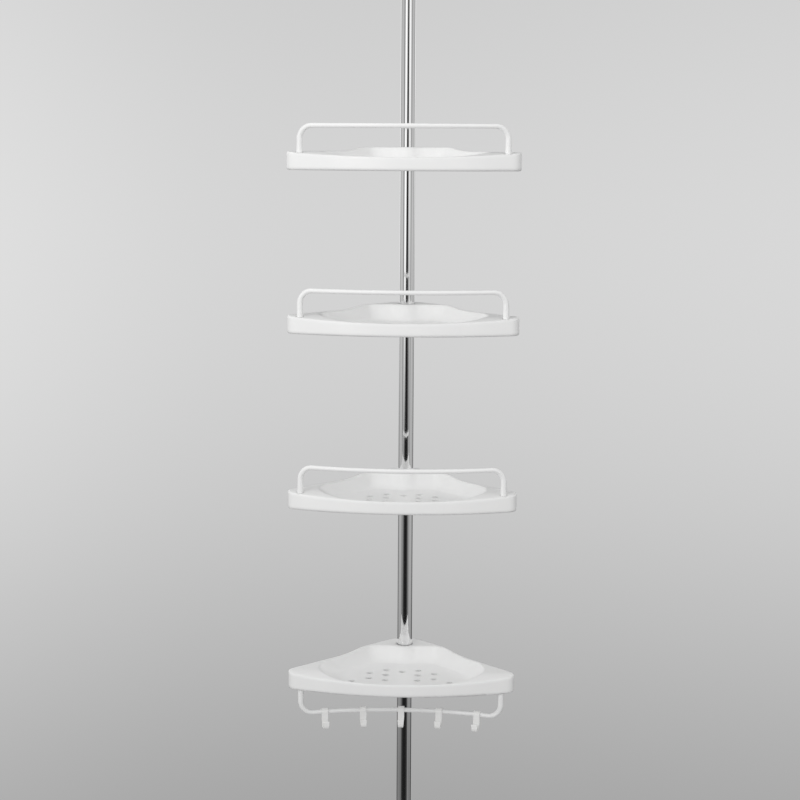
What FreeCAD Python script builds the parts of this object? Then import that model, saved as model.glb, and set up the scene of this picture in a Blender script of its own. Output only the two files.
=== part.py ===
import FreeCAD, Part
import math
import os
import Sketcher
from FreeCAD import Placement, Rotation, Vector

# Tension pole shelf unit: a chrome pole between floor and ceiling that carries four corner trays.
# Millimetres. Origin on the pole axis at the floor, +Z up, +Y towards the room corner, -Y to the front.

doc = FreeCAD.newDocument("TensionPoleShelfUnit")

# Driving sizes

SIZES = {
    # Fits shared by all pieces
    "slideFit": 0.05,
    "openGap": 0.4,
    # Pole
    "poleDiameter": 22,
    "poleWall": 0.8,
    "tubeLength": 521,
    "jointSleeveLength": 70,
    "jointSleeveWall": 1.5,
    # Floor and ceiling pads with their cups
    "padRadius": 26,
    "padHeight": 8,
    "padLipHeight": 3,
    "padLipWidth": 2.5,
    "padGrooveDepth": 1.2,
    "padGrooveWidth": 3,
    "cupFlangeHeight": 5,
    "cupFlareHeight": 10,
    "cupSocketDepth": 34,
    "cupWall": 4,
    "cupRound": 1.5,
    # Telescopic inner tube and its lock
    "innerDiameter": 19,
    "innerWall": 0.8,
    "innerLength": 484,
    "innerInsertion": 180,
    "guideLength": 40,
    "guideFlangeHeight": 3,
    "guideSlotWidth": 1.6,
    "guideSlotDepth": 24,
    "plugHeadHeight": 10,
    "plugShankLength": 14,
    "lockOverlap": 40,
    "lockCapHeight": 10,
    "lockWall": 4.4,
    "lockRound": 2,
    "fluteCount": 16,
    "fluteRadius": 2.2,
    "fluteDepth": 1.1,
    # Tension spring and plunger
    "springSeatHeight": 10,
    "springLength": 120,
    "springWire": 1.8,
    "springTurns": 14,
    "pistonLength": 30,
    "stemDiameter": 14,
    "bushLength": 28,
    "bushFlangeHeight": 3,
    "plungerTravel": 50,
    "ceilingSocketDepth": 22,
    # Split clips under the trays
    "clipWall": 1.6,
    "clipTaper": 1,
    "clipLedge": 1,
    "clipFlangeHeight": 4,
    "clipLift": 4,
    "clipHubLength": 18,
    "clipSplitAngle": 8,
    # Tray outline
    "trayReach": 173,
    "trayBack": 32.5,
    "frontRadius": 435,
    "cornerRadius": 16,
    "backRadius": 35.5,
    "wallAngle": 46.1,
    "sleeveWall": 2,
    # Tray heights above its underside
    "bossHeight": 31.5,
    "rimHeight": 26,
    "shoulderStart": 16,
    "shoulderRadius": 45,
    "hollowRadius": 130,
    "rimBendStart": 122,
    "rimBendRadius": 120,
    "rimSlope": 10.5,
    # Tray dish, at its mouth and at its floor
    "bulgeWall": 1.95,
    "bulgeFlare": 14,
    "mouthFront": 0.5,
    "mouthWall": 3,
    "mouthBack": 10.5,
    "mouthCorner": 30,
    "mouthTurn": 25,
    "mouthFlank": 28,
    "floorFront": 13,
    "floorWall": 22,
    "floorBack": 29,
    "floorCornerShare": 0.347,
    "floorTurn": 22,
    "floorFlank": 30,
    "floorTop": 8,
    "floorThickness": 2.5,
    # Levels between them: rise from the floor and what is left of the floor's size and corner
    "lowRise": 1.2,
    "lowShare": 0.77,
    "lowCornerShare": 1,
    "middleRise": 7,
    "middleShare": 0.48,
    "middleCornerShare": 0.96,
    "rimRound": 2.2,
    "dishRound": 3,
    "footRound": 3.4,
    # Tray underside and boss
    "recessFront": 4,
    "recessWall": 4.5,
    "recessBack": 12,
    "recessCorner": 30,
    "recessTurn": 20,
    "recessFlank": 20,
    "ribThickness": 2,
    "bossWall": 3.5,
    "bossFront": 8,
    "bossCornerRadius": 4,
    "poleHoleGap": 1.3,
    # Drain holes
    "drainDiameter": 8.5,
    "drainPitch": 24,
    "drainRowPitch": 25,
    "drainStart": 71,
    "drainSweep": 4.1,
    # Places of the trays, each measured down from what is above it
    "topTrayDrop": 266.8,
    "upperTrayGap": 230.9,
    "lowerTrayGap": 253.8,
    "hookTrayGap": 268.5,
    # Rails
    "legSetback": 3,
    "railInset": 8,
    "railDiameter": 6.6,
    "legDiameter": 9.6,
    "legTopDiameter": 8.2,
    "railBend": 18.5,
    "railHeight": 47,
    "guardSeat": 15,
    "hookSeat": 10.5,
    # Hooks
    "hookFit": 0.1,
    "hookWidth": 9.4,
    "hookThickness": 2.2,
    "hookDrop": 16.7,
    "hookCurl": 4.5,
    "hookTipRise": 5,
    "hookLipDrop": 2.2,
    "hookPitch": 56.2,
    "hookTaper": 0.9,
    "hookTaperStart": 11,
    "hookCorner": 1.6,
}

# Sizes worked out from the driving ones

WORKED = {
    "poleRadius": "Sizes.poleDiameter / 2",
    "poleBore": "poleRadius - Sizes.poleWall",
    "innerRadius": "Sizes.innerDiameter / 2",
    "innerBore": "innerRadius - Sizes.innerWall",
    "stemRadius": "Sizes.stemDiameter / 2",
    # Heights up the pole
    "lowerTubeZ": "Sizes.padHeight + Sizes.cupFlangeHeight",
    "middleTubeZ": "lowerTubeZ + Sizes.tubeLength",
    "upperTubeZ": "middleTubeZ + Sizes.tubeLength",
    "upperTubeTopZ": "upperTubeZ + Sizes.tubeLength",
    "innerZ": "upperTubeTopZ - Sizes.innerInsertion",
    "innerTopZ": "innerZ + Sizes.innerLength",
    "lockZ": "upperTubeTopZ - Sizes.lockOverlap",
    "pistonTopZ": "innerTopZ - Sizes.bushLength - Sizes.openGap",
    "pistonZ": "pistonTopZ - Sizes.pistonLength",
    "springZ": "pistonZ - Sizes.springLength",
    "ceilingCupZ": "innerTopZ + Sizes.bushFlangeHeight + Sizes.plungerTravel + Sizes.openGap",
    "stemTopZ": "ceilingCupZ + Sizes.ceilingSocketDepth",
    "ceilingPadZ": "stemTopZ + Sizes.cupFlangeHeight",
    # Clip and the sleeve that sits on it
    "clipBore": "poleRadius + Sizes.slideFit",
    "clipTopRadius": "clipBore + Sizes.clipWall",
    "clipFootRadius": "clipTopRadius + Sizes.clipTaper",
    "clipFlangeRadius": "clipFootRadius + Sizes.clipLedge",
    "sleeveFootZ": "Sizes.clipLift + Sizes.clipFlangeHeight",
    "sleeveTopZ": "sleeveFootZ + Sizes.clipHubLength + Sizes.openGap",
    "flangeRoom": "clipFlangeRadius + Sizes.openGap",
    "sleeveRadius": "flangeRoom + Sizes.sleeveWall",
    "poleHoleRadius": "poleRadius + Sizes.poleHoleGap",
    # Swelling of the dish's back round the sleeve, and its floor's corners
    "mouthBulge": "sleeveRadius + Sizes.bulgeWall",
    "floorBulge": "mouthBulge + Sizes.bulgeFlare",
    "recessBulge": "sleeveRadius + Sizes.bulgeWall",
    "floorCorner": "Sizes.trayReach * Sizes.floorCornerShare",
    # Heights of the dish's levels
    "floorHeight": "Sizes.floorTop",
    "lowHeight": "Sizes.floorTop + Sizes.lowRise",
    "middleHeight": "Sizes.floorTop + Sizes.middleRise",
    "mouthHeight": "Sizes.bossHeight",
    # Tray outline; the walls are straight lines, and each corner arc touches a wall and the front arc
    "backCentreY": "Sizes.trayBack - Sizes.backRadius",
    "wallDistance": "Sizes.backRadius + backCentreY * cos(Sizes.wallAngle)",
    "wallSlope": "tan(Sizes.wallAngle)",
    "frontCentreY": "Sizes.frontRadius - Sizes.trayReach",
    "cornerReach": "Sizes.frontRadius - Sizes.cornerRadius",
    "cornerRise": "(wallDistance - Sizes.cornerRadius) / cos(Sizes.wallAngle) - frontCentreY",
    "cornerRoot": "sqrt((1 + wallSlope ^ 2) * cornerReach ^ 2 - cornerRise ^ 2)",
    "cornerX": "(cornerRise * wallSlope + cornerRoot) / (1 + wallSlope ^ 2)",
    # Rail legs
    "railRadius": "Sizes.frontRadius - Sizes.railInset",
    "legReach": "sqrt(railRadius ^ 2 + Sizes.railBend ^ 2)",
    "legX": "cornerX - Sizes.legSetback",
    "legY": "frontCentreY - sqrt(legReach ^ 2 - legX ^ 2)",
    # Heights of the trays
    "topTrayZ": "lockZ - Sizes.topTrayDrop",
    "upperTrayZ": "topTrayZ - Sizes.upperTrayGap",
    "lowerTrayZ": "upperTrayZ - Sizes.lowerTrayGap",
    "hookTrayZ": "lowerTrayZ - Sizes.hookTrayGap",
}

DISH_LEVELS = ("floor", "low", "middle", "mouth")

for level in DISH_LEVELS[1:-1]:
    for item in ("Front", "Wall", "Back", "Turn", "Flank"):
        mouth = f"Sizes.mouth{item}"
        WORKED[f"{level}{item}"] = f"{mouth} + (Sizes.floor{item} - {mouth}) * Sizes.{level}Share"
    WORKED[f"{level}Bulge"] = f"mouthBulge + Sizes.bulgeFlare * Sizes.{level}Share"
    corner = "(floorCorner - Sizes.mouthCorner)"
    WORKED[f"{level}Corner"] = f"Sizes.mouthCorner + {corner} * Sizes.{level}CornerShare"

VERTICAL_AXIS = -2
ROOT_POINT = (-1, 1)
CENTRE = 3


def fill_sheet(name, rows, prefix):
    sheet = doc.addObject("Spreadsheet::Sheet", name)
    for row, (alias, content) in enumerate(rows.items(), 1):
        sheet.set(f"A{row}", alias)
        sheet.set(f"B{row}", f"{prefix}{content}")
        sheet.setAlias(f"B{row}", alias)
    return sheet


sizes = fill_sheet("Sizes", SIZES, "")
worked = fill_sheet("Worked", WORKED, "=")
doc.recompute()


def val(alias):
    sheet = sizes if alias in SIZES else worked
    return float(sheet.get(alias))


def ref(alias):
    sheet = "Sizes" if alias in SIZES else "Worked"
    return f"{sheet}.{alias}"


# Bodies, sketches and features

sub_parts = []


def new_body(label, height=None):
    body = doc.addObject("PartDesign::Body", label)
    body.Label = label
    if height:
        body.setExpression("Placement.Base.z", height)
    sub_parts.append(body)
    return body


def sketch_on(body, name, role="XY_Plane", lift=None):
    sketch = body.newObject("Sketcher::SketchObject", name)
    plane = [feature for feature in body.Origin.OriginFeatures if feature.Role == role][0]
    sketch.AttachmentSupport = (plane, [""])
    sketch.MapMode = "FlatFace"
    if lift:
        sketch.setExpression("AttachmentOffset.Base.z", lift)
    return sketch


def dimension(sketch, formula, kind, *where):
    index = sketch.addConstraint(Sketcher.Constraint(kind, *where))
    sketch.setExpression(f"Constraints[{index}]", formula)


def circle(sketch, radius, formula):
    index = sketch.addGeometry(Part.Circle(Vector(0, 0, 0), Vector(0, 0, 1), radius))
    dimension(sketch, formula, "Radius", index, radius)
    return index


def centred_circle(sketch, radius, formula):
    index = circle(sketch, radius, formula)
    sketch.addConstraint(Sketcher.Constraint("Coincident", index, CENTRE, *ROOT_POINT))


def place_point(sketch, geometry, point, across, up):
    # Across and up are formulas from the sketch's root point; None keeps the point on the axis.
    if across is None:
        sketch.addConstraint(Sketcher.Constraint("PointOnObject", geometry, point, VERTICAL_AXIS))
    else:
        dimension(sketch, across, "DistanceX", *ROOT_POINT, geometry, point, 1.0)
    if up is None:
        sketch.addConstraint(Sketcher.Constraint("PointOnObject", geometry, point, -1))
    else:
        dimension(sketch, up, "DistanceY", *ROOT_POINT, geometry, point, 1.0)


def polygon(sketch, points):
    # The corners start on a small circle, and their dimensions then carry them to their places.
    first = len(sketch.Geometry)
    count = len(points)
    turn = 2 * math.pi / count
    rough = [Vector(5 + math.cos(turn * i), 5 + math.sin(turn * i), 0) for i in range(count)]
    for i in range(count):
        sketch.addGeometry(Part.LineSegment(rough[i], rough[(i + 1) % count]))
    for i in range(count):
        sketch.addConstraint(Sketcher.Constraint("Coincident", first + i, 2, first + (i + 1) % count, 1))
    for i, (across, up) in enumerate(points):
        place_point(sketch, first + i, 1, across, up)


def feature_of(body, kind, name, profile, **formulas):
    feature = body.newObject(f"PartDesign::{kind}", name)
    feature.Profile = profile
    for prop, formula in formulas.items():
        feature.setExpression(prop, formula)
    profile.Visibility = False
    return feature


def turned(body, name, points, kind="Revolution"):
    sketch = sketch_on(body, f"{name}Profile", "XZ_Plane")
    polygon(sketch, points)
    feature = feature_of(body, kind, name, sketch)
    feature.ReferenceAxis = (sketch, ["V_Axis"])
    feature.Angle = 360
    return feature


def round_edges(body, name, base, edges, formula):
    fillet = body.newObject("PartDesign::Fillet", name)
    fillet.Base = (base, edges)
    fillet.setExpression("Radius", formula)
    doc.recompute()
    return fillet


def edge_names(shape, chosen):
    return [f"Edge{i}" for i, edge in enumerate(shape.Edges, 1) if chosen(edge)]


def level_ring(height, radius):
    # Picks the round edge of a turned piece at one height and radius.
    def chosen(edge):
        curve = edge.Curve
        if not isinstance(curve, Part.Circle):
            return False
        return abs(curve.Center.z - height) < 1e-6 and abs(curve.Radius - radius) < 1e-6
    return chosen


# Smooth outlines: lines and arcs that run into each other without a corner

class Outline:
    def __init__(self, sketch):
        self.sketch = sketch
        self.ends = []

    def line(self, start, end):
        index = self.sketch.addGeometry(Part.LineSegment(Vector(*start, 0), Vector(*end, 0)))
        self.ends.append((1, 2))
        return index

    def arc(self, centre, radius, first, last):
        # Angles in degrees; a falling angle runs the arc clockwise.
        low, high = sorted((math.radians(first), math.radians(last)))
        round_line = Part.Circle(Vector(*centre, 0), Vector(0, 0, 1), radius)
        index = self.sketch.addGeometry(Part.ArcOfCircle(round_line, low, high))
        self.ends.append((1, 2) if last > first else (2, 1))
        return index

    def join(self, first, second, smooth=True):
        kind = "Tangent" if smooth else "Coincident"
        self.sketch.addConstraint(
            Sketcher.Constraint(kind, first, self.ends[first][1], second, self.ends[second][0]))

    def close(self):
        count = len(self.ends)
        for i in range(count):
            self.join(i, (i + 1) % count)

    def radius(self, index, value, formula):
        dimension(self.sketch, formula, "Radius", index, value)

    def angle(self, index, degrees):
        self.sketch.addConstraint(Sketcher.Constraint("Angle", index, math.radians(degrees)))

    def centre_on_axis(self, index, value, formula):
        self.sketch.addConstraint(Sketcher.Constraint("PointOnObject", index, CENTRE, VERTICAL_AXIS))
        dimension(self.sketch, formula, "DistanceY", *ROOT_POINT, index, CENTRE, value)

    def distance(self, index, value, formula):
        dimension(self.sketch, formula, "Distance", *ROOT_POINT, index, value)

    def slant(self, right, left):
        # The side walls lean in towards the back, alike on both sides.
        angle = math.radians(180 - val("wallAngle"))
        dimension(self.sketch, "180 - Sizes.wallAngle", "Angle", right, angle)
        dimension(self.sketch, "Sizes.wallAngle - 180", "Angle", left, -angle)


def along(centre, radius, degrees):
    angle = math.radians(degrees)
    return (centre[0] + radius * math.cos(angle), centre[1] + radius * math.sin(angle))


def corner_centre(wall_distance, front_radius, corner_radius):
    # Centre of the arc that rounds the meeting of a side wall and the front arc, on the right.
    front_y = val("frontCentreY")
    slope = val("wallSlope")
    square = 1 + slope ** 2
    rise = (wall_distance - corner_radius) * math.sqrt(square) - front_y
    reach = front_radius - corner_radius
    x = (rise * slope + math.sqrt(square * reach ** 2 - rise ** 2)) / square
    return (x, front_y + rise - x * slope)


def beside_wall(wall_distance, y):
    # Where a line at this height in plan meets the right wall.
    lean = math.radians(val("wallAngle"))
    return (wall_distance - y * math.cos(lean)) / math.sin(lean)


def front_angle(centre):
    return math.degrees(math.atan2(centre[1] - val("frontCentreY"), centre[0]))


def tray_outline(sketch):
    outline = Outline(sketch)
    front_radius = val("frontRadius")
    corner_radius = val("cornerRadius")
    back_radius = val("backRadius")
    square_on = 90 - val("wallAngle")
    front = (0, val("frontCentreY"))
    back = (0, val("backCentreY"))
    right = corner_centre(val("wallDistance"), front_radius, corner_radius)
    left = (-right[0], right[1])
    reach = front_angle(right)
    front_arc = outline.arc(front, front_radius, -180 - reach, reach)
    right_corner = outline.arc(right, corner_radius, reach, square_on)
    right_wall = outline.line(along(right, corner_radius, square_on), along(back, back_radius, square_on))
    back_arc = outline.arc(back, back_radius, square_on, 180 - square_on)
    left_wall = outline.line(along(back, back_radius, 180 - square_on),
                             along(left, corner_radius, 180 - square_on))
    left_corner = outline.arc(left, corner_radius, 180 - square_on, 180 - reach)
    outline.close()
    outline.slant(right_wall, left_wall)
    outline.centre_on_axis(front_arc, front[1], "Worked.frontCentreY")
    outline.radius(front_arc, front_radius, "Sizes.frontRadius")
    outline.centre_on_axis(back_arc, back[1], "Worked.backCentreY")
    outline.radius(back_arc, back_radius, "Sizes.backRadius")
    outline.radius(right_corner, corner_radius, "Sizes.cornerRadius")
    outline.radius(left_corner, corner_radius, "Sizes.cornerRadius")


def dish_outline(sketch, level):
    # A plan section of a hollow: bowed front, slanted walls and a back that swells round the pole.
    outline = Outline(sketch)
    front_radius = val("frontRadius") - val(f"{level}Front")
    wall_distance = val("wallDistance") - val(f"{level}Wall")
    corner_radius = val(f"{level}Corner")
    turn_radius = val(f"{level}Turn")
    flank_radius = val(f"{level}Flank")
    bulge_radius = val(f"{level}Bulge")
    back_y = -val(f"{level}Back")
    square_on = 90 - val("wallAngle")
    spread = bulge_radius + flank_radius
    swing = math.degrees(math.acos((flank_radius - back_y) / spread))
    front = (0, val("frontCentreY"))
    right = corner_centre(wall_distance, front_radius, corner_radius)
    left = (-right[0], right[1])
    reach = front_angle(right)
    turn_y = back_y - turn_radius
    turn_x = beside_wall(wall_distance - turn_radius, turn_y)
    right_back = (turn_x, turn_y)
    left_back = (-turn_x, turn_y)
    flank_x = spread * math.sin(math.radians(swing))
    right_flank = (flank_x, back_y - flank_radius)
    left_flank = (-flank_x, back_y - flank_radius)
    front_arc = outline.arc(front, front_radius, -180 - reach, reach)
    right_corner = outline.arc(right, corner_radius, reach, square_on)
    right_wall = outline.line(along(right, corner_radius, square_on),
                              along(right_back, turn_radius, square_on))
    right_turn = outline.arc(right_back, turn_radius, square_on, 90)
    right_line = outline.line((turn_x, back_y), (flank_x, back_y))
    right_bend = outline.arc(right_flank, flank_radius, 90, 90 + swing)
    bulge_arc = outline.arc((0, 0), bulge_radius, -90 + swing, -90 - swing)
    left_bend = outline.arc(left_flank, flank_radius, 90 - swing, 90)
    left_line = outline.line((-flank_x, back_y), (-turn_x, back_y))
    left_turn = outline.arc(left_back, turn_radius, 90, 180 - square_on)
    left_wall = outline.line(along(left_back, turn_radius, 180 - square_on),
                             along(left, corner_radius, 180 - square_on))
    left_corner = outline.arc(left, corner_radius, 180 - square_on, 180 - reach)
    outline.close()
    outline.slant(right_wall, left_wall)
    outline.centre_on_axis(front_arc, front[1], "Worked.frontCentreY")
    outline.radius(front_arc, front_radius, f"Sizes.frontRadius - {ref(level + 'Front')}")
    for wall in (right_wall, left_wall):
        outline.distance(wall, wall_distance, f"Worked.wallDistance - {ref(level + 'Wall')}")
    for corner in (right_corner, left_corner):
        outline.radius(corner, corner_radius, ref(level + "Corner"))
    for turn in (right_turn, left_turn):
        outline.radius(turn, turn_radius, ref(level + "Turn"))
    for bend in (right_bend, left_bend):
        outline.radius(bend, flank_radius, ref(level + "Flank"))
    for line in (right_line, left_line):
        outline.angle(line, 180)
        outline.distance(line, -back_y, ref(level + "Back"))
    outline.radius(bulge_arc, bulge_radius, f"Worked.{level}Bulge")
    sketch.addConstraint(Sketcher.Constraint("Coincident", bulge_arc, CENTRE, *ROOT_POINT))


def cavity_outline(sketch):
    # The hollow under the raised back corner, behind the dish.
    outline = Outline(sketch)
    wall = val("bossWall")
    corner_radius = val("bossCornerRadius")
    back_radius = val("backRadius") - wall
    front_y = -val("bossFront")
    square_on = 90 - val("wallAngle")
    back = (0, val("backCentreY"))
    corner_y = front_y + corner_radius
    corner_x = beside_wall(val("wallDistance") - wall - corner_radius, corner_y)
    right = (corner_x, corner_y)
    left = (-corner_x, corner_y)
    front_line = outline.line((-corner_x, front_y), (corner_x, front_y))
    right_corner = outline.arc(right, corner_radius, -90, square_on)
    right_wall = outline.line(along(right, corner_radius, square_on), along(back, back_radius, square_on))
    back_arc = outline.arc(back, back_radius, square_on, 180 - square_on)
    left_wall = outline.line(along(back, back_radius, 180 - square_on),
                             along(left, corner_radius, 180 - square_on))
    left_corner = outline.arc(left, corner_radius, 180 - square_on, 270)
    outline.close()
    outline.angle(front_line, 0)
    outline.distance(front_line, -front_y, "Sizes.bossFront")
    outline.slant(right_wall, left_wall)
    outline.centre_on_axis(back_arc, back[1], "Worked.backCentreY")
    outline.radius(back_arc, back_radius, "Sizes.backRadius - Sizes.bossWall")
    for corner in (right_corner, left_corner):
        outline.radius(corner, corner_radius, "Sizes.bossCornerRadius")


def top_outline(sketch):
    # Side view of what is cut from above: flat boss, S-shaped shoulder, level rim, falling front.
    outline = Outline(sketch)
    boss = val("bossHeight")
    rim = val("rimHeight")
    shoulder = val("shoulderRadius")
    hollow = val("hollowRadius")
    bend = val("rimBendRadius")
    slope = val("rimSlope")
    clear = boss + val("rimHeight")
    start = -val("shoulderStart")
    bend_start = -val("rimBendStart")
    end = -val("trayReach") - val("rimHeight")
    spread = shoulder + hollow
    fall = math.degrees(math.acos(1 - (boss - rim) / spread))
    upper = (start, boss - shoulder)
    lower = (start - spread * math.sin(math.radians(fall)), rim + hollow)
    nose = (bend_start, rim - bend)
    knee = along(nose, bend, 90 + slope)
    tip = (end, knee[1] + (end - knee[0]) * math.tan(math.radians(slope)))
    back_line = outline.line((start, clear), (start, boss))
    shoulder_arc = outline.arc(upper, shoulder, 90, 90 + fall)
    hollow_arc = outline.arc(lower, hollow, -90 + fall, -90)
    rim_line = outline.line((lower[0], rim), (bend_start, rim))
    bend_arc = outline.arc(nose, bend, 90, 90 + slope)
    slope_line = outline.line(knee, tip)
    front_line = outline.line(tip, (end, clear))
    top_line = outline.line((end, clear), (start, clear))
    for first, second in ((shoulder_arc, hollow_arc), (hollow_arc, rim_line), (rim_line, bend_arc),
                          (bend_arc, slope_line)):
        outline.join(first, second)
    for first, second in ((back_line, shoulder_arc), (slope_line, front_line), (front_line, top_line),
                          (top_line, back_line)):
        outline.join(first, second, smooth=False)
    outline.angle(back_line, -90)
    outline.angle(rim_line, 180)
    outline.angle(front_line, 90)
    outline.angle(top_line, 0)
    outline.radius(shoulder_arc, shoulder, "Sizes.shoulderRadius")
    outline.radius(hollow_arc, hollow, "Sizes.hollowRadius")
    outline.radius(bend_arc, bend, "Sizes.rimBendRadius")
    dimension(sketch, "-Sizes.shoulderStart", "DistanceX", *ROOT_POINT, shoulder_arc, CENTRE, start)
    dimension(sketch, "Sizes.bossHeight - Sizes.shoulderRadius",
              "DistanceY", *ROOT_POINT, shoulder_arc, CENTRE, upper[1])
    dimension(sketch, "-Sizes.shoulderStart", "DistanceX", *ROOT_POINT, back_line, 1, start)
    dimension(sketch, "Sizes.bossHeight + Sizes.rimHeight", "DistanceY", *ROOT_POINT, back_line, 1, clear)
    dimension(sketch, "-Sizes.rimBendStart", "DistanceX", *ROOT_POINT, bend_arc, CENTRE, bend_start)
    dimension(sketch, "Sizes.rimHeight", "DistanceY", *ROOT_POINT, rim_line, 1, rim)
    dimension(sketch, "180 + Sizes.rimSlope", "Angle", slope_line, math.radians(180 + slope))
    dimension(sketch, "-Sizes.trayReach - Sizes.rimHeight", "DistanceX", *ROOT_POINT, front_line, 1, end)


# Tray

DRAIN_ROWS = {0: (0,), 1: (0, 1, 2), 2: (0, 1), 3: (2,)}


def drain_holes(sketch):
    for column, rows in DRAIN_ROWS.items():
        stagger = f" + {column % 2} * Sizes.drainRowPitch / 2"
        for row in rows:
            up = f"-Sizes.drainStart - {row} * Sizes.drainRowPitch - {column} * Sizes.drainSweep{stagger}"
            for side in (1, -1) if column else (1,):
                hole = circle(sketch, val("drainDiameter") / 2, "Sizes.drainDiameter / 2")
                across = f"{side * column} * Sizes.drainPitch" if column else None
                place_point(sketch, hole, CENTRE, across, up)


def rim_edges(shape, plan, outside):
    # Edges of the top surface: those on the tray's outline, or those round the dish.
    low = val("floorTop") + val("lowRise")
    tops = []
    for face in shape.Faces:
        u0, u1, v0, v1 = face.ParameterRange
        normal = face.normalAt((u0 + u1) / 2, (v0 + v1) / 2)
        plain = isinstance(face.Surface, (Part.Plane, Part.Cylinder))
        if plain and normal.z > 0.9 and face.CenterOfMass.z > low:
            tops.append(face)
    names = []
    for i, edge in enumerate(shape.Edges, 1):
        owners = [face for face in tops if any(edge.isSame(other) for other in face.Edges)]
        if len(owners) != 1:
            continue
        middle = edge.valueAt((edge.FirstParameter + edge.LastParameter) / 2)
        gap = plan.distToShape(Part.Vertex(middle.x, middle.y, 0))[0]
        if (gap < 1e-3) == outside:
            names.append(f"Edge{i}")
    return names


def leg_holes(body, seat, upwards):
    sketch = sketch_on(body, "LegHoles", lift=f"Sizes.{seat}")
    for side in ("", "-"):
        hole = circle(sketch, val("legDiameter") / 2, "Sizes.legDiameter / 2 + Sizes.slideFit")
        place_point(sketch, hole, CENTRE, f"{side}Worked.legX", "Worked.legY")
    pocket = feature_of(body, "Pocket", "LegSockets", sketch, Length="Sizes.bossHeight")
    pocket.Reversed = upwards


def make_tray(label, height, seat, upwards):
    body = new_body(label, height)
    plan = sketch_on(body, "Plan")
    tray_outline(plan)
    feature_of(body, "Pad", "Blank", plan, Length="Sizes.bossHeight")
    side = sketch_on(body, "SideView", "YZ_Plane")
    top_outline(side)
    crown = feature_of(body, "Pocket", "Crown", side, Length="4 * Worked.cornerX")
    crown.SideType = "Symmetric"
    levels = []
    for level in DISH_LEVELS:
        section = sketch_on(body, f"Dish{level.capitalize()}", lift=ref(level + "Height"))
        dish_outline(section, level)
        levels.append(section)
    dish = feature_of(body, "SubtractiveLoft", "Dish", levels[0])
    dish.Sections = levels[1:]
    doc.recompute()
    inner = rim_edges(dish.Shape, plan.Shape, outside=False)
    lip = round_edges(body, "DishLip", dish, inner, "Sizes.dishRound")
    outer = rim_edges(lip.Shape, plan.Shape, outside=True)
    rim = round_edges(body, "RimFillet", lip, outer, "Sizes.rimRound")
    foot = edge_names(rim.Shape, lambda edge: edge.BoundBox.ZMax < 1e-4)
    round_edges(body, "FootFillet", rim, foot, "Sizes.footRound")
    recess = sketch_on(body, "RecessPlan")
    dish_outline(recess, "recess")
    underside = feature_of(body, "Pocket", "Recess", recess, Length="Sizes.floorTop - Sizes.floorThickness")
    underside.Reversed = True
    cavity = sketch_on(body, "CavityPlan")
    cavity_outline(cavity)
    hollow_boss = feature_of(body, "Pocket", "BossCavity", cavity, Length="Sizes.bossHeight - Sizes.bossWall")
    hollow_boss.Reversed = True
    ribs = sketch_on(body, "RibPlan", lift="Sizes.footRound")
    for column in (1.5, 4):
        for sign in (1, -1):
            add_rib(ribs, sign * column)
    feature_of(body, "Pad", "Ribs", ribs, Length="Sizes.floorTop - Sizes.floorThickness - Sizes.footRound")
    sleeve = sketch_on(body, "SleevePlan", lift="Worked.sleeveFootZ")
    centred_circle(sleeve, val("sleeveRadius"), "Worked.sleeveRadius")
    feature_of(body, "Pad", "Sleeve", sleeve,
               Length="Sizes.bossHeight - Sizes.bossWall - Worked.sleeveFootZ")
    turned(body, "Bore", [
        (None, None),
        ("Worked.flangeRoom", None),
        ("Worked.flangeRoom", "Worked.sleeveFootZ"),
        ("Worked.clipFootRadius + Sizes.slideFit", "Worked.sleeveFootZ"),
        ("Worked.clipTopRadius + Sizes.slideFit", "Worked.sleeveTopZ"),
        ("Worked.poleHoleRadius", "Worked.sleeveTopZ"),
        ("Worked.poleHoleRadius", "Sizes.bossHeight + Sizes.openGap"),
        (None, "Sizes.bossHeight + Sizes.openGap"),
    ], "Groove")
    drains = sketch_on(body, "DrainPlan", lift="Sizes.floorTop")
    drain_holes(drains)
    feature_of(body, "Pocket", "Drains", drains, Length="Sizes.floorTop")
    leg_holes(body, seat, upwards)
    return body


def add_rib(sketch, column):
    # A straight rib under the floor, from the back wall of the recess to the front skirt.
    half = f"{column} * Sizes.drainPitch"
    left = f"{half} - Sizes.ribThickness / 2"
    right = f"{half} + Sizes.ribThickness / 2"
    wall = "(Worked.wallDistance - Sizes.recessWall / 2) / cos(Sizes.wallAngle)"
    back = f"min({wall} - {abs(column)} * Sizes.drainPitch * Worked.wallSlope; -Worked.recessBulge)"
    reach = "(Sizes.frontRadius - Sizes.recessFront / 2)"
    front = f"Worked.frontCentreY - sqrt({reach} ^ 2 - ({half}) ^ 2)"
    polygon(sketch, [(left, front), (right, front), (right, back), (left, back)])


TRAYS = (
    ("top_tray", "topTrayZ", "guardSeat", True),
    ("upper_tray", "upperTrayZ", "guardSeat", True),
    ("lower_tray", "lowerTrayZ", "guardSeat", True),
    ("hook_tray", "hookTrayZ", "hookSeat", False),
)

for label, height, seat, upwards in TRAYS:
    make_tray(label, f"Worked.{height}", seat, upwards)


# Split clips

def make_clip_half(label, height, turn):
    body = new_body(label, f"Worked.{height} + Sizes.clipLift")
    half = turned(body, "Half", [
        ("Worked.clipBore", None),
        ("Worked.clipFlangeRadius", None),
        ("Worked.clipFlangeRadius", "Sizes.clipFlangeHeight"),
        ("Worked.clipFootRadius", "Sizes.clipFlangeHeight"),
        ("Worked.clipTopRadius", "Sizes.clipFlangeHeight + Sizes.clipHubLength"),
        ("Worked.clipBore", "Sizes.clipFlangeHeight + Sizes.clipHubLength"),
    ])
    half.setExpression("Angle", "180 - Sizes.clipSplitAngle")
    half.Midplane = True
    body.Placement = Placement(body.Placement.Base, Rotation(Vector(0, 0, 1), turn))


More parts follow.
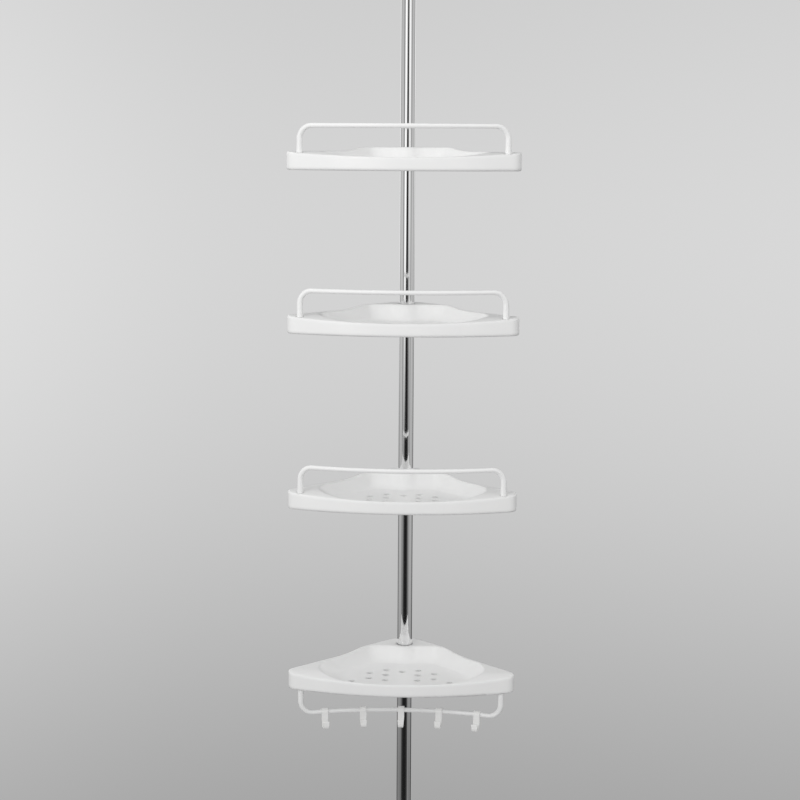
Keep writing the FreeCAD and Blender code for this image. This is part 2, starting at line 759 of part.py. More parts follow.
for label, height, seat, upwards in TRAYS:
    stem = label.replace("_tray", "_clip")
    make_clip_half(f"{stem}_right", height, 0)
    make_clip_half(f"{stem}_left", height, 180)


# Rails

def rail_path():
    # From the top of one leg round its bend, along the bowed bar and round to the other leg.
    # The path's own origin is midway between the legs, level with their ends.
    radius = val("railRadius")
    bend = val("railBend")
    height = val("railHeight")
    leg_x = val("legX")
    centre_y = val("frontCentreY") - val("legY")
    swing = math.asin(leg_x / val("legReach")) - math.atan(bend / radius)
    edges = []
    lean = math.sqrt(0.5)
    for side in (-1, 1):
        run = Vector(side * math.cos(swing), math.sin(swing), 0)
        bar_end = Vector(side * radius * math.sin(swing), centre_y - radius * math.cos(swing), height)
        hub = bar_end - Vector(0, 0, bend)
        leg_top = hub + run * bend
        halfway = hub + (run + Vector(0, 0, 1)) * (bend * lean)
        edges.append((leg_top, halfway, bar_end))
    left, right = edges
    middle = Vector(0, centre_y - radius, height)
    path = [
        Part.Arc(*left).toShape(),
        Part.Arc(left[2], middle, right[2]).toShape(),
        Part.Arc(right[2], right[1], right[0]).toShape(),
    ]
    return Part.Wire(path)


def rail_ring(label, edge, end, diameter):
    # A round section across the path at one end of an edge.
    at = edge.FirstParameter if end == 0 else edge.LastParameter
    ring = doc.addObject("Part::Circle", label)
    ring.setExpression("Radius", f"Sizes.{diameter} / 2")
    ring.Placement = Placement(edge.valueAt(at), Rotation(Vector(0, 0, 1), edge.tangentAt(at)))
    return ring


RAIL_RUNS = (
    ("left_bend", "legTopDiameter", "railDiameter"),
    ("bar", "railDiameter", "railDiameter"),
    ("right_bend", "railDiameter", "legTopDiameter"),
)


def make_rail(label, height, seat, flipped):
    path = doc.addObject("Part::Feature", f"{label}_path")
    path.Shape = rail_path()
    runs = []
    for number, (name, first, last) in enumerate(RAIL_RUNS, 1):
        edge = path.Shape.Edges[number - 1]
        run = doc.addObject("Part::Sweep", f"{label}_{name}")
        run.Sections = [rail_ring(f"{label}_{name}_start", edge, 0, first),
                        rail_ring(f"{label}_{name}_end", edge, 1, last)]
        run.Spine = (path, [f"Edge{number}"])
        run.Solid = True
        runs.append(run)
    for side in ("-", ""):
        leg = doc.addObject("Part::Cone", f"{label}_leg")
        leg.setExpression("Radius1", "Sizes.legDiameter / 2")
        leg.setExpression("Radius2", "Sizes.legTopDiameter / 2")
        leg.setExpression("Height", "Sizes.railHeight - Sizes.railBend")
        leg.setExpression("Placement.Base.x", f"{side}Worked.legX")
        runs.append(leg)
    rail = doc.addObject("Part::MultiFuse", label)
    rail.Label = label
    rail.Shapes = runs
    rail.Refine = True
    if flipped:
        rail.Placement = Placement(Vector(), Rotation(Vector(1, 0, 0), 180))
    rail.setExpression("Placement.Base.y", "Worked.legY")
    rail.setExpression("Placement.Base.z", f"Worked.{height} + Sizes.{seat}")
    sub_parts.append(rail)


for label, height, seat, upwards in TRAYS:
    name = label.replace("_tray", "_guard_rail") if upwards else "hook_rail"
    make_rail(name, height, seat, not upwards)


# Hooks on the hook rail

def hook_profile(sketch):
    # Snaps over the bar, hangs down in front of it and curls forward. The bar's axis is the root point.
    outline = Outline(sketch)
    inner = val("railDiameter") / 2 + val("hookFit")
    thick = val("hookThickness")
    outer = inner + thick
    drop = -val("hookDrop")
    curl = val("hookCurl")
    tip_y = drop + val("hookTipRise")
    lip = math.degrees(math.asin(val("hookLipDrop") / inner))
    origin = (0, 0)
    centre = (-outer - curl, drop)
    near = centre[0] - curl
    far = near - thick
    clip_inside = outline.arc(origin, inner, -lip, 180)
    back_line = outline.line((-inner, 0), (-inner, drop))
    curl_outside = outline.arc(centre, curl + thick, 0, -180)
    nose_front = outline.line((far, drop), (far, tip_y))
    tip_arc = outline.arc((near - thick / 2, tip_y), thick / 2, 180, 0)
    nose_back = outline.line((near, tip_y), (near, drop))
    curl_inside = outline.arc(centre, curl, -180, 0)
    front_line = outline.line((-outer, drop), (-outer, 0))
    clip_outside = outline.arc(origin, outer, 180, -lip)
    lip_line = outline.line(along(origin, outer, -lip), along(origin, inner, -lip))
    smooth = (clip_inside, back_line, curl_outside, nose_front, tip_arc, nose_back, curl_inside,
              front_line, clip_outside)
    for first, second in zip(smooth, smooth[1:]):
        outline.join(first, second)
    outline.join(clip_outside, lip_line, smooth=False)
    outline.join(lip_line, clip_inside, smooth=False)
    for arc in (clip_inside, clip_outside):
        sketch.addConstraint(Sketcher.Constraint("Coincident", arc, CENTRE, *ROOT_POINT))
    outline.radius(clip_inside, inner, "Sizes.railDiameter / 2 + Sizes.hookFit")
    outline.radius(clip_outside, outer, "Sizes.railDiameter / 2 + Sizes.hookFit + Sizes.hookThickness")
    outline.angle(back_line, -90)
    outline.angle(front_line, 90)
    outline.radius(curl_inside, curl, "Sizes.hookCurl")
    sketch.addConstraint(Sketcher.Constraint("Coincident", curl_inside, CENTRE, curl_outside, CENTRE))
    dimension(sketch, "-Sizes.hookDrop", "DistanceY", *ROOT_POINT, curl_inside, CENTRE, drop)
    outline.angle(nose_front, 90)
    dimension(sketch, "Sizes.hookTipRise", "Distance", nose_front, val("hookTipRise"))
    dimension(sketch, "-Sizes.hookLipDrop",
              "DistanceY", *ROOT_POINT, clip_inside, 1, -val("hookLipDrop"))
    sketch.addConstraint(Sketcher.Constraint("PointOnObject", *ROOT_POINT, lip_line))


def hook_taper(sketch, side):
    # Front view of the sliver trimmed from one edge of the strap, down to a bevelled corner.
    edge = "Sizes.hookWidth / 2"
    foot = "-(Sizes.hookDrop + Sizes.hookCurl + Sizes.hookThickness)"
    across = [edge, f"{edge} + Sizes.hookTaper", f"{edge} + Sizes.hookTaper",
              f"{edge} - Sizes.hookTaper - Sizes.hookCorner", f"{edge} - Sizes.hookTaper"]
    up = ["-Sizes.hookTaperStart", "-Sizes.hookTaperStart", foot, foot, f"{foot} + Sizes.hookCorner"]
    polygon(sketch, [(f"{side}({x})", y) for x, y in zip(across, up)])


def make_hook(label, place):
    body = new_body(label)
    profile = sketch_on(body, "Profile", "YZ_Plane")
    hook_profile(profile)
    strap = feature_of(body, "Pad", "Strap", profile, Length="Sizes.hookWidth")
    strap.SideType = "Symmetric"
    taper = sketch_on(body, "TaperView", "XZ_Plane")
    for side in ("", "-"):
        hook_taper(taper, side)
    trim = feature_of(body, "Pocket", "Taper", taper, Length="4 * Sizes.hookDrop")
    trim.SideType = "Symmetric"
    radius = val("railRadius")
    angle = math.asin(place * val("hookPitch") / radius)
    base_y = val("legY") - (val("frontCentreY") - val("legY")) + radius * math.cos(angle)
    base_z = val("hookTrayZ") + val("hookSeat") - val("railHeight")
    base = Vector(radius * math.sin(angle), base_y, base_z)
    body.Placement = Placement(base, Rotation(Vector(0, 0, 1), -math.degrees(angle)))


for number in range(1, 6):
    make_hook(f"hook_{number}", number - 3)


# Pole tubes and joint sleeves

def make_tube(label, height, outer, bore, length):
    body = new_body(label, height)
    ring = sketch_on(body, "Ring")
    centred_circle(ring, 2.0, outer)
    centred_circle(ring, 1.0, bore)
    feature_of(body, "Pad", "Tube", ring, Length=length)
    return body


TUBES = (("lower_tube", "lowerTubeZ"), ("middle_tube", "middleTubeZ"), ("upper_tube", "upperTubeZ"))

for label, height in TUBES:
    make_tube(label, f"Worked.{height}", "Worked.poleRadius", "Worked.poleBore", "Sizes.tubeLength")

for label, height in (("lower_joint_sleeve", "middleTubeZ"), ("upper_joint_sleeve", "upperTubeZ")):
    make_tube(label, f"Worked.{height} - Sizes.jointSleeveLength / 2",
              "Worked.poleBore - Sizes.slideFit",
              "Worked.poleBore - Sizes.slideFit - Sizes.jointSleeveWall", "Sizes.jointSleeveLength")


# Floor and ceiling ends

def make_pad(label, height, flipped=False):
    # A rubber disc with a raised lip that holds the cup's flange and a grip groove underneath.
    body = new_body(label, height)
    inside = "Sizes.padRadius - Sizes.padLipWidth"
    groove = "Sizes.padRadius / 2"
    pad = turned(body, "Disc", [
        (None, None),
        (groove, None),
        (groove, "Sizes.padGrooveDepth"),
        (f"{groove} + Sizes.padGrooveWidth", "Sizes.padGrooveDepth"),
        (f"{groove} + Sizes.padGrooveWidth", None),
        ("Sizes.padRadius", None),
        ("Sizes.padRadius", "Sizes.padHeight + Sizes.padLipHeight"),
        (inside, "Sizes.padHeight + Sizes.padLipHeight"),
        (inside, "Sizes.padHeight"),
        (None, "Sizes.padHeight"),
    ])
    doc.recompute()
    ring = level_ring(val("padHeight") + val("padLipHeight"), val("padRadius"))
    round_edges(body, "LipRound", pad, edge_names(pad.Shape, ring), "Sizes.padLipWidth / 2")
    if flipped:
        body.Placement = Placement(body.Placement.Base, Rotation(Vector(1, 0, 0), 180))


def make_cup(label, height, socket, depth, flipped=False):
    # A flanged plastic socket, flared into its flange; the shaft stands on the flange's upper face.
    body = new_body(label, height)
    flange = "Sizes.padRadius - Sizes.padLipWidth - Sizes.slideFit"
    bore = f"{socket} + Sizes.slideFit"
    outside = f"{bore} + Sizes.cupWall"
    cup = turned(body, "Cup", [
        (None, None),
        (flange, None),
        (flange, "Sizes.padLipHeight"),
        (f"{outside} + Sizes.cupWall", "Sizes.cupFlangeHeight"),
        (outside, "Sizes.cupFlangeHeight + Sizes.cupFlareHeight"),
        (outside, f"Sizes.cupFlangeHeight + {depth}"),
        (bore, f"Sizes.cupFlangeHeight + {depth}"),
        (bore, "Sizes.cupFlangeHeight"),
        (None, "Sizes.cupFlangeHeight"),
    ])
    doc.recompute()
    mouth = [edge for edge in cup.Shape.Edges if edge.BoundBox.ZMin > cup.Shape.BoundBox.ZMax - 1e-6]
    rim = max(mouth, key=lambda edge: edge.Curve.Radius)
    round_edges(body, "MouthRound", cup, edge_names(cup.Shape, rim.isSame), "Sizes.cupRound")
    if flipped:
        body.Placement = Placement(body.Placement.Base, Rotation(Vector(1, 0, 0), 180))


make_pad("floor_pad", None)
make_cup("floor_cup", "Sizes.padHeight", "Worked.poleRadius", "Sizes.cupSocketDepth")
make_cup("ceiling_cup", "Worked.ceilingPadZ", "Worked.stemRadius", "Sizes.ceilingSocketDepth", True)
make_pad("ceiling_pad", "Worked.ceilingPadZ + Sizes.padHeight", True)


# Telescopic inner tube

make_tube("inner_tube", "Worked.innerZ", "Worked.innerRadius", "Worked.innerBore", "Sizes.innerLength")

turned(new_body("guide_plug", "Worked.innerZ - Sizes.plugHeadHeight"), "Plug", [
    (None, None),
    ("Worked.poleBore - Sizes.slideFit", None),
    ("Worked.poleBore - Sizes.slideFit", "Sizes.plugHeadHeight"),
    ("Worked.innerBore - Sizes.slideFit", "Sizes.plugHeadHeight"),
    ("Worked.innerBore - Sizes.slideFit", "Sizes.plugHeadHeight + Sizes.plugShankLength"),
    (None, "Sizes.plugHeadHeight + Sizes.plugShankLength"),
])


def make_guide_bush():
    # A slotted sleeve in the upper tube's mouth, with a flange that rests on the tube's end.
    body = new_body("guide_bush", "Worked.upperTubeTopZ - Sizes.guideLength")
    turned(body, "Sleeve", [
        ("Worked.innerRadius + Sizes.slideFit", None),
        ("Worked.poleBore - Sizes.slideFit", None),
        ("Worked.poleBore - Sizes.slideFit", "Sizes.guideLength"),
        ("Worked.poleRadius", "Sizes.guideLength"),
        ("Worked.poleRadius", "Sizes.guideLength + Sizes.guideFlangeHeight"),
        ("Worked.innerRadius + Sizes.slideFit", "Sizes.guideLength + Sizes.guideFlangeHeight"),
    ])
    sketch = sketch_on(body, "SlotView", "XZ_Plane")
    half = "Sizes.guideSlotWidth / 2"
    polygon(sketch, [
        (f"-{half}", "-Sizes.openGap"),
        (half, "-Sizes.openGap"),
        (half, "Sizes.guideSlotDepth"),
        (f"-{half}", "Sizes.guideSlotDepth"),
    ])
    slot = feature_of(body, "Pocket", "Slot", sketch, Length="2 * Sizes.poleDiameter")
    slot.SideType = "Symmetric"
    doc.recompute()
    slots = body.newObject("PartDesign::PolarPattern", "Slots")
    slots.Originals = [slot]
    slots.Axis = (sketch, ["V_Axis"])
    slots.Angle = 180
    slots.Occurrences = 2
    body.Tip = slots


def make_lock_collar():
    # A fluted ring that turns on the upper tube's end and closes over the guide bush.
    body = new_body("lock_collar", "Worked.lockZ")
    ledge = "Sizes.lockOverlap + Sizes.guideFlangeHeight + Sizes.openGap"
    outside = "Worked.poleRadius + Sizes.slideFit + Sizes.lockWall"
    collar = turned(body, "Ring", [
        ("Worked.poleRadius + Sizes.slideFit", None),
        (outside, None),
        (outside, ledge),
        ("Worked.innerRadius + Sizes.openGap + Sizes.lockWall / 2", f"{ledge} + Sizes.lockCapHeight"),
        ("Worked.innerRadius + Sizes.openGap", f"{ledge} + Sizes.lockCapHeight"),
        ("Worked.innerRadius + Sizes.openGap", ledge),
        ("Worked.poleRadius + Sizes.slideFit", ledge),
    ])
    doc.recompute()
    radius = val("poleRadius") + val("slideFit") + val("lockWall")
    ledge_z = val("lockOverlap") + val("guideFlangeHeight") + val("openGap")
    rings = [level_ring(z, radius) for z in (0.0, ledge_z)]
    names = edge_names(collar.Shape, lambda edge: any(ring(edge) for ring in rings))
    round_edges(body, "RingRound", collar, names, "Sizes.lockRound")
    sketch = sketch_on(body, "FlutePlan")
    flute = circle(sketch, val("fluteRadius"), "Sizes.fluteRadius")
    place_point(sketch, flute, CENTRE, f"{outside} + Sizes.fluteRadius - Sizes.fluteDepth", None)
    groove = feature_of(body, "Pocket", "Flute", sketch, Length=ledge)
    groove.Reversed = True
    doc.recompute()
    flutes = body.newObject("PartDesign::PolarPattern", "Flutes")
    flutes.Originals = [groove]
    flutes.Axis = (sketch, ["N_Axis"])
    flutes.Angle = 360
    flutes.setExpression("Occurrences", "Sizes.fluteCount")
    body.Tip = flutes


make_guide_bush()
make_lock_collar()


# Tension spring and plunger inside the inner tube

turned(new_body("spring_seat", "Worked.springZ - Sizes.springSeatHeight"), "Seat", [
    (None, None),
    ("Worked.innerBore - Sizes.slideFit", None),
    ("Worked.innerBore - Sizes.slideFit", "Sizes.springSeatHeight"),
    (None, "Sizes.springSeatHeight"),
])

turned(new_body("plunger", "Worked.pistonZ"), "Plunger", [
    (None, None),
    ("Worked.innerBore - Sizes.slideFit", None),
    ("Worked.innerBore - Sizes.slideFit", "Sizes.pistonLength"),
    ("Worked.stemRadius", "Sizes.pistonLength"),
    ("Worked.stemRadius", "Worked.stemTopZ - Worked.pistonZ"),
    (None, "Worked.stemTopZ - Worked.pistonZ"),
])

turned(new_body("plunger_bush", "Worked.innerTopZ - Sizes.bushLength"), "Bush", [
    ("Worked.stemRadius + Sizes.slideFit", None),
    ("Worked.innerBore - Sizes.slideFit", None),
    ("Worked.innerBore - Sizes.slideFit", "Sizes.bushLength"),
    ("Worked.innerRadius", "Sizes.bushLength"),
    ("Worked.innerRadius", "Sizes.bushLength + Sizes.bushFlangeHeight"),
    ("Worked.stemRadius + Sizes.slideFit", "Sizes.bushLength + Sizes.bushFlangeHeight"),
])


def biarc(start, start_run, end, end_run):
    # Two arcs that join two points and keep both directions there.
    span = end - start
    runs = start_run + end_run
    square = 2 * (1 - start_run.dot(end_run))
    pull = span.dot(runs)
    reach = (-pull + math.sqrt(pull ** 2 + square * span.dot(span))) / square
    first_handle = start + start_run * reach
    second_handle = end - end_run * reach
    meeting = (first_handle + second_handle) * 0.5
    return [through(start, first_handle, meeting), through(meeting, second_handle, end)]


def through(start, handle, end):
    # The arc from start to end whose end tangents meet at the handle.
    chord_middle = (start + end) * 0.5
    to_handle = handle - chord_middle
    half = (end - start).Length / 2
    side = (handle - start).Length
    depth = half * (side - half) / to_handle.Length if to_handle.Length else 0.0
    return Part.Arc(start, chord_middle + to_handle.normalize() * depth, end).toShape()


def make_spring():
    wire = val("springWire")
    radius = val("innerBore") - val("openGap") - wire / 2
    rise = val("springLength") - wire
    halves = 2 * int(val("springTurns"))
    length = math.hypot(2 * math.pi * radius * halves / 2, rise)
    climb = rise / length
    level = math.sqrt(1 - climb ** 2)

    def point(i):
        angle = math.pi * i
        return Vector(radius * math.cos(angle), radius * math.sin(angle), wire / 2 + rise * i / halves)

    def run(i):
        angle = math.pi * i
        return Vector(-level * math.sin(angle), level * math.cos(angle), climb)

    steps = 2 * halves
    marks = [i / 2 for i in range(steps + 1)]
    edges = []
    for first, second in zip(marks, marks[1:]):
        edges += biarc(point(first), run(first), point(second), run(second))
    path = Part.Wire(edges)
    section = Part.Wire([Part.Circle(point(0), run(0), wire / 2).toShape()])
    coil = path.makePipeShell([section], True, False)
    spring = doc.addObject("Part::Feature", "tension_spring")
    spring.Label = "tension_spring"
    spring.Shape = coil
    spring.Placement = Placement(Vector(0, 0, val("springZ")), Rotation())
    sub_parts.append(spring)
    print("least gap between the spring's turns", round(rise / (halves / 2) * level - wire, 3))


make_spring()


# Every object is sound before anything is written

doc.recompute()
for item in doc.Objects:
    if "Invalid" in item.State or "Error" in item.State:
        raise RuntimeError(f"{item.Label} did not build")
for part in sub_parts:
    if part.Shape.isNull() or not part.Shape.isValid():
        raise RuntimeError(f"{part.Label} has no valid shape")

os.makedirs("parts", exist_ok=True)
for part in sub_parts:
    part.Shape.exportStep(os.path.join("parts", f"{part.Label}.step"))
print(len(sub_parts), "sub-parts written")
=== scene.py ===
import math
import bmesh
import bpy
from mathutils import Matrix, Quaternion, Vector


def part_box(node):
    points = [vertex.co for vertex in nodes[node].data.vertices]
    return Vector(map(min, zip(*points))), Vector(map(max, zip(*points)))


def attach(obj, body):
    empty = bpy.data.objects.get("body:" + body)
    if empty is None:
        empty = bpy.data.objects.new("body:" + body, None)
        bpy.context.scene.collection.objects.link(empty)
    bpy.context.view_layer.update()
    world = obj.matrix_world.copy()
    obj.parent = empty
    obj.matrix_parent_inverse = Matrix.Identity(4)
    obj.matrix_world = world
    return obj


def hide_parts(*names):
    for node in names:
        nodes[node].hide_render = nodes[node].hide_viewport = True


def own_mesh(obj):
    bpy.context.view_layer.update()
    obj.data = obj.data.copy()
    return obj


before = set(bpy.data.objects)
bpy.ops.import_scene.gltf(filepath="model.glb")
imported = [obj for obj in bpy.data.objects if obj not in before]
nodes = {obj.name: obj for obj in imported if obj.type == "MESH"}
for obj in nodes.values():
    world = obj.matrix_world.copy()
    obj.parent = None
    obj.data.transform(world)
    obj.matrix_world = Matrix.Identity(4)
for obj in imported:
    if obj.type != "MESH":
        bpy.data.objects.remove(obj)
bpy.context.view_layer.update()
scene = bpy.context.scene
scene.view_settings.view_transform = "Standard"
print("frame loaded,", len(nodes), "solids")


# shader helpers

def addNode(tree, kind, values=None, **settings):
    made = tree.nodes.new(kind)
    for key, value in settings.items():
        setattr(made, key, value)
    for key, value in (values or {}).items():
        if isinstance(value, bpy.types.NodeSocket):
            tree.links.new(value, made.inputs[key])
        else:
            made.inputs[key].default_value = value
    return made


def noiseTexture(tree, vector, scale, detail=3.0, roughness=0.55):
    made = addNode(tree, "ShaderNodeTexNoise",
                   {"Vector": vector, "Scale": scale, "Detail": detail, "Roughness": roughness})
    return made.outputs["Fac"]


def stretched(tree, vector, scale):
    return addNode(tree, "ShaderNodeMapping", {"Vector": vector, "Scale": scale}).outputs["Vector"]


def spread(tree, value, fromLow, fromHigh, toLow, toHigh):
    made = addNode(tree, "ShaderNodeMapRange", {"Value": value, "From Min": fromLow, "From Max": fromHigh,
                                                "To Min": toLow, "To Max": toHigh})
    return made.outputs["Result"]


def blendColours(tree, factor, first, second, mode="MIX"):
    made = addNode(tree, "ShaderNodeMix", data_type="RGBA", blend_type=mode)
    for index, value in ((0, factor), (6, first), (7, second)):
        if isinstance(value, bpy.types.NodeSocket):
            tree.links.new(value, made.inputs[index])
        else:
            made.inputs[index].default_value = value
    return made.outputs[2]


def bumped(tree, height, distance, strength=1.0, under=None):
    made = addNode(tree, "ShaderNodeBump", {"Height": height, "Distance": distance, "Strength": strength})
    if under is not None:
        tree.links.new(under, made.inputs["Normal"])
    return made.outputs["Normal"]


def startMaterial(name):
    made = bpy.data.materials.new(name)
    made.use_nodes = True
    tree = made.node_tree
    tree.nodes.clear()
    out = addNode(tree, "ShaderNodeOutputMaterial")
    shader = addNode(tree, "ShaderNodeBsdfPrincipled")
    tree.links.new(shader.outputs["BSDF"], out.inputs["Surface"])
    place = addNode(tree, "ShaderNodeTexCoord").outputs["Object"]
    return made, tree, shader, place


def opaque(colour):
    return (*colour, 1.0)


def grey(level):
    return (level, level, level, 1.0)


noiseSpan = (0.3, 0.7)  # where most of an even noise lies
hazeSpan = (0.35, 0.75)  # the same for a finely divided one, leaning dark


# moulded plastics: cloudy tone, spark grain, shallow flow waves

trayPlastic = {"name": "moulded_tray_white", "light": (0.862, 0.862, 0.857), "dark": (0.828, 0.829, 0.827),
               "cloudScale": 16.0, "gloss": (0.30, 0.42), "grainScale": 1500.0, "grainDepth": 0.000016,
               "waveScale": 22.0, "waveDepth": 0.00022, "specular": 0.5, "coat": 0.0}
traySoftEdgesAndPaintedShade = {"softEdge": 0.005, "paintedShadeReach": 0.007, "paintedShadeSpan": (0.35, 0.95), "paintedShadeTone": 0.92,
            "rays": 4}  # eased lips, and painted shade darkening the base colour in drain holes and other hollows
whitePlastic = {**trayPlastic, "name": "moulded_white", "cloudScale": 48.0, "waveScale": 70.0,
                "waveDepth": 0.00007}
railPlastic = {"name": "coated_rail_white", "light": (0.872, 0.872, 0.868), "dark": (0.842, 0.843, 0.841),
               "cloudScale": 30.0, "gloss": (0.24, 0.34), "grainScale": 620.0, "grainDepth": 0.00003,
               "waveScale": 60.0, "waveDepth": 0.00006, "specular": 0.5, "coat": 0.12}
hookPlastic = {"name": "moulded_hook_white", "light": (0.866, 0.864, 0.856), "dark": (0.835, 0.833, 0.825),
               "cloudScale": 70.0, "gloss": (0.28, 0.40), "grainScale": 1800.0, "grainDepth": 0.000014,
               "waveScale": 120.0, "waveDepth": 0.00005, "specular": 0.5, "coat": 0.0}
fittingPlastic = {"name": "moulded_grey", "light": (0.43, 0.44, 0.45), "dark": (0.37, 0.38, 0.39),
                  "cloudScale": 60.0, "gloss": (0.45, 0.6), "grainScale": 1300.0, "grainDepth": 0.00003,
                  "waveScale": 90.0, "waveDepth": 0.00006, "specular": 0.4, "coat": 0.0}
speck = {"span": (0.25, 0.75), "tone": 0.985}  # how far the grain darkens any of them
coatRoughness = 0.15


def makePlastic(finish, edgeAndShade=None):
    made, tree, shader, place = startMaterial(finish["name"])
    cloud = noiseTexture(tree, place, finish["cloudScale"], 4.0)
    grain = noiseTexture(tree, place, finish["grainScale"], 2.0, 0.7)
    wave = noiseTexture(tree, place, finish["waveScale"], 1.0)
    tone = blendColours(tree, spread(tree, cloud, *noiseSpan, 0.0, 1.0),
                        opaque(finish["dark"]), opaque(finish["light"]))
    tone = blendColours(tree, 1.0, tone, spread(tree, grain, *speck["span"], speck["tone"], 1.0), "MULTIPLY")
    eased = None
    if edgeAndShade:
        # painted shade: ambient occlusion darkens the base colour in drain holes, sockets and narrow hollows
        paintedShadeAo = addNode(tree, "ShaderNodeAmbientOcclusion", {"Distance": edgeAndShade["paintedShadeReach"]},
                         samples=edgeAndShade["rays"], only_local=True)
        shade = spread(tree, paintedShadeAo.outputs["AO"], *edgeAndShade["paintedShadeSpan"], edgeAndShade["paintedShadeTone"], 1.0)
        tone = blendColours(tree, 1.0, tone, shade, "MULTIPLY")
        lip = addNode(tree, "ShaderNodeBevel", {"Radius": edgeAndShade["softEdge"]}, samples=edgeAndShade["rays"])
        eased = lip.outputs["Normal"]
    tree.links.new(tone, shader.inputs["Base Color"])
    smooth, matt = finish["gloss"]
    tree.links.new(spread(tree, cloud, *noiseSpan, matt, smooth), shader.inputs["Roughness"])
    flow = bumped(tree, wave, finish["waveDepth"], 1.0, eased)
    tree.links.new(bumped(tree, grain, finish["grainDepth"], 1.0, flow), shader.inputs["Normal"])
    shader.inputs["Specular IOR Level"].default_value = finish["specular"]
    shader.inputs["Coat Weight"].default_value = finish["coat"]
    shader.inputs["Coat Roughness"].default_value = coatRoughness
    return made


# plated and bare metal: drawing lines along the tube, faint haze

tubeChrome = {"name": "plated_tube", "light": (0.935, 0.935, 0.935), "dark": (0.885, 0.885, 0.887),
              "lineScale": (900.0, 900.0, 6.0), "lineDepth": 0.0000012, "hazeScale": 9.0,
              "gloss": (0.045, 0.1)}
wireSteel = {"name": "drawn_steel", "light": (0.60, 0.60, 0.61), "dark": (0.47, 0.47, 0.48),
             "lineScale": (1200.0, 1200.0, 90.0), "lineDepth": 0.000006, "hazeScale": 40.0,
             "gloss": (0.26, 0.42)}


def makeMetal(finish):
    made, tree, shader, place = startMaterial(finish["name"])
    lines = noiseTexture(tree, stretched(tree, place, finish["lineScale"]), 1.0, 2.0)
    haze = noiseTexture(tree, place, finish["hazeScale"], 5.0)
    tone = blendColours(tree, spread(tree, lines, *noiseSpan, 0.0, 1.0),
                        opaque(finish["dark"]), opaque(finish["light"]))
    tree.links.new(tone, shader.inputs["Base Color"])
    tree.links.new(spread(tree, haze, *hazeSpan, *finish["gloss"]), shader.inputs["Roughness"])
    tree.links.new(bumped(tree, lines, finish["lineDepth"]), shader.inputs["Normal"])
    shader.inputs["Metallic"].default_value = 1.0
    return made


# pad rubber: fine pores, pale bloom in patches of noise

padRubber = {"name": "grip_rubber", "light": (0.105, 0.105, 0.108), "dark": (0.06, 0.06, 0.062),
             "bloomScale": 45.0, "poreScale": 1700.0, "poreDepth": 0.00005, "gloss": (0.62, 0.8),
             "specular": 0.3}


def makeRubber(finish):
    made, tree, shader, place = startMaterial(finish["name"])
    bloom = noiseTexture(tree, place, finish["bloomScale"], 5.0)
    pores = addNode(tree, "ShaderNodeTexVoronoi", {"Vector": place, "Scale": finish["poreScale"]})
    tone = blendColours(tree, spread(tree, bloom, *hazeSpan, 0.0, 1.0),
                        opaque(finish["dark"]), opaque(finish["light"]))
    tree.links.new(tone, shader.inputs["Base Color"])
    tree.links.new(spread(tree, bloom, *noiseSpan, *finish["gloss"]), shader.inputs["Roughness"])
    tree.links.new(bumped(tree, pores.outputs["Distance"], finish["poreDepth"]), shader.inputs["Normal"])
    shader.inputs["Specular IOR Level"].default_value = finish["specular"]
    return made


finishes = {"tray": makePlastic(trayPlastic, traySoftEdgesAndPaintedShade), "white": makePlastic(whitePlastic),
            "rail": makePlastic(railPlastic), "hook": makePlastic(hookPlastic),
            "fitting": makePlastic(fittingPlastic), "chrome": makeMetal(tubeChrome),
            "steel": makeMetal(wireSteel), "rubber": makeRubber(padRubber)}
slotFinish = {"white_plastic": "white", "chrome_tube": "chrome", "grey_plastic": "fitting",
              "pad_rubber": "rubber", "bare_steel": "steel"}


def finishFor(name, slot):
    if name.endswith("_tray"):
        return finishes["tray"]
    if name.endswith("_rail"):
        return finishes["rail"]
    if name.removeprefix("hook_").isdigit():
        return finishes["hook"]
    return finishes[slotFinish[slot]]


for name, solid in nodes.items():
    slot = solid.data.materials[0].name.split(".")[0]
    solid.data.materials[0] = finishFor(name, slot)
print("finishes laid on", len(nodes), "solids")


# node-made details: grip rings on the pads, gussets on the cups

padGrips = {"count": 3, "bead": 0.00055, "spacing": 0.0024, "inset": 0.0003, "ringSteps": 96, "beadSteps": 10}
cupGussets = {"count": 8, "reach": 0.0042, "width": 0.0010, "rise": 0.0095, "segments": 20, "rings": 14,
              "fromEnd": 0.0125, "floorCircle": 0.0183, "ceilingCircle": 0.0128}


def startTree(name, sockets):
    tree = bpy.data.node_groups.new(name, "GeometryNodeTree")
    tree.interface.new_socket("Geometry", in_out="OUTPUT", socket_type="NodeSocketGeometry")
    for label, kind, value in sockets:
        made = tree.interface.new_socket(label, in_out="INPUT", socket_type=kind)
        if value is not None:
            made.default_value = value
    return tree, addNode(tree, "NodeGroupInput").outputs, addNode(tree, "NodeGroupOutput")


def finishTree(tree, out, geometry, material):
    solid = addNode(tree, "GeometryNodeRealizeInstances", {"Geometry": geometry}).outputs["Geometry"]
    smooth = addNode(tree, "GeometryNodeSetShadeSmooth", {"Geometry": solid}).outputs["Geometry"]
    dressed = addNode(tree, "GeometryNodeSetMaterial", {"Geometry": smooth, "Material": material})
    tree.links.new(dressed.outputs["Geometry"], out.inputs["Geometry"])


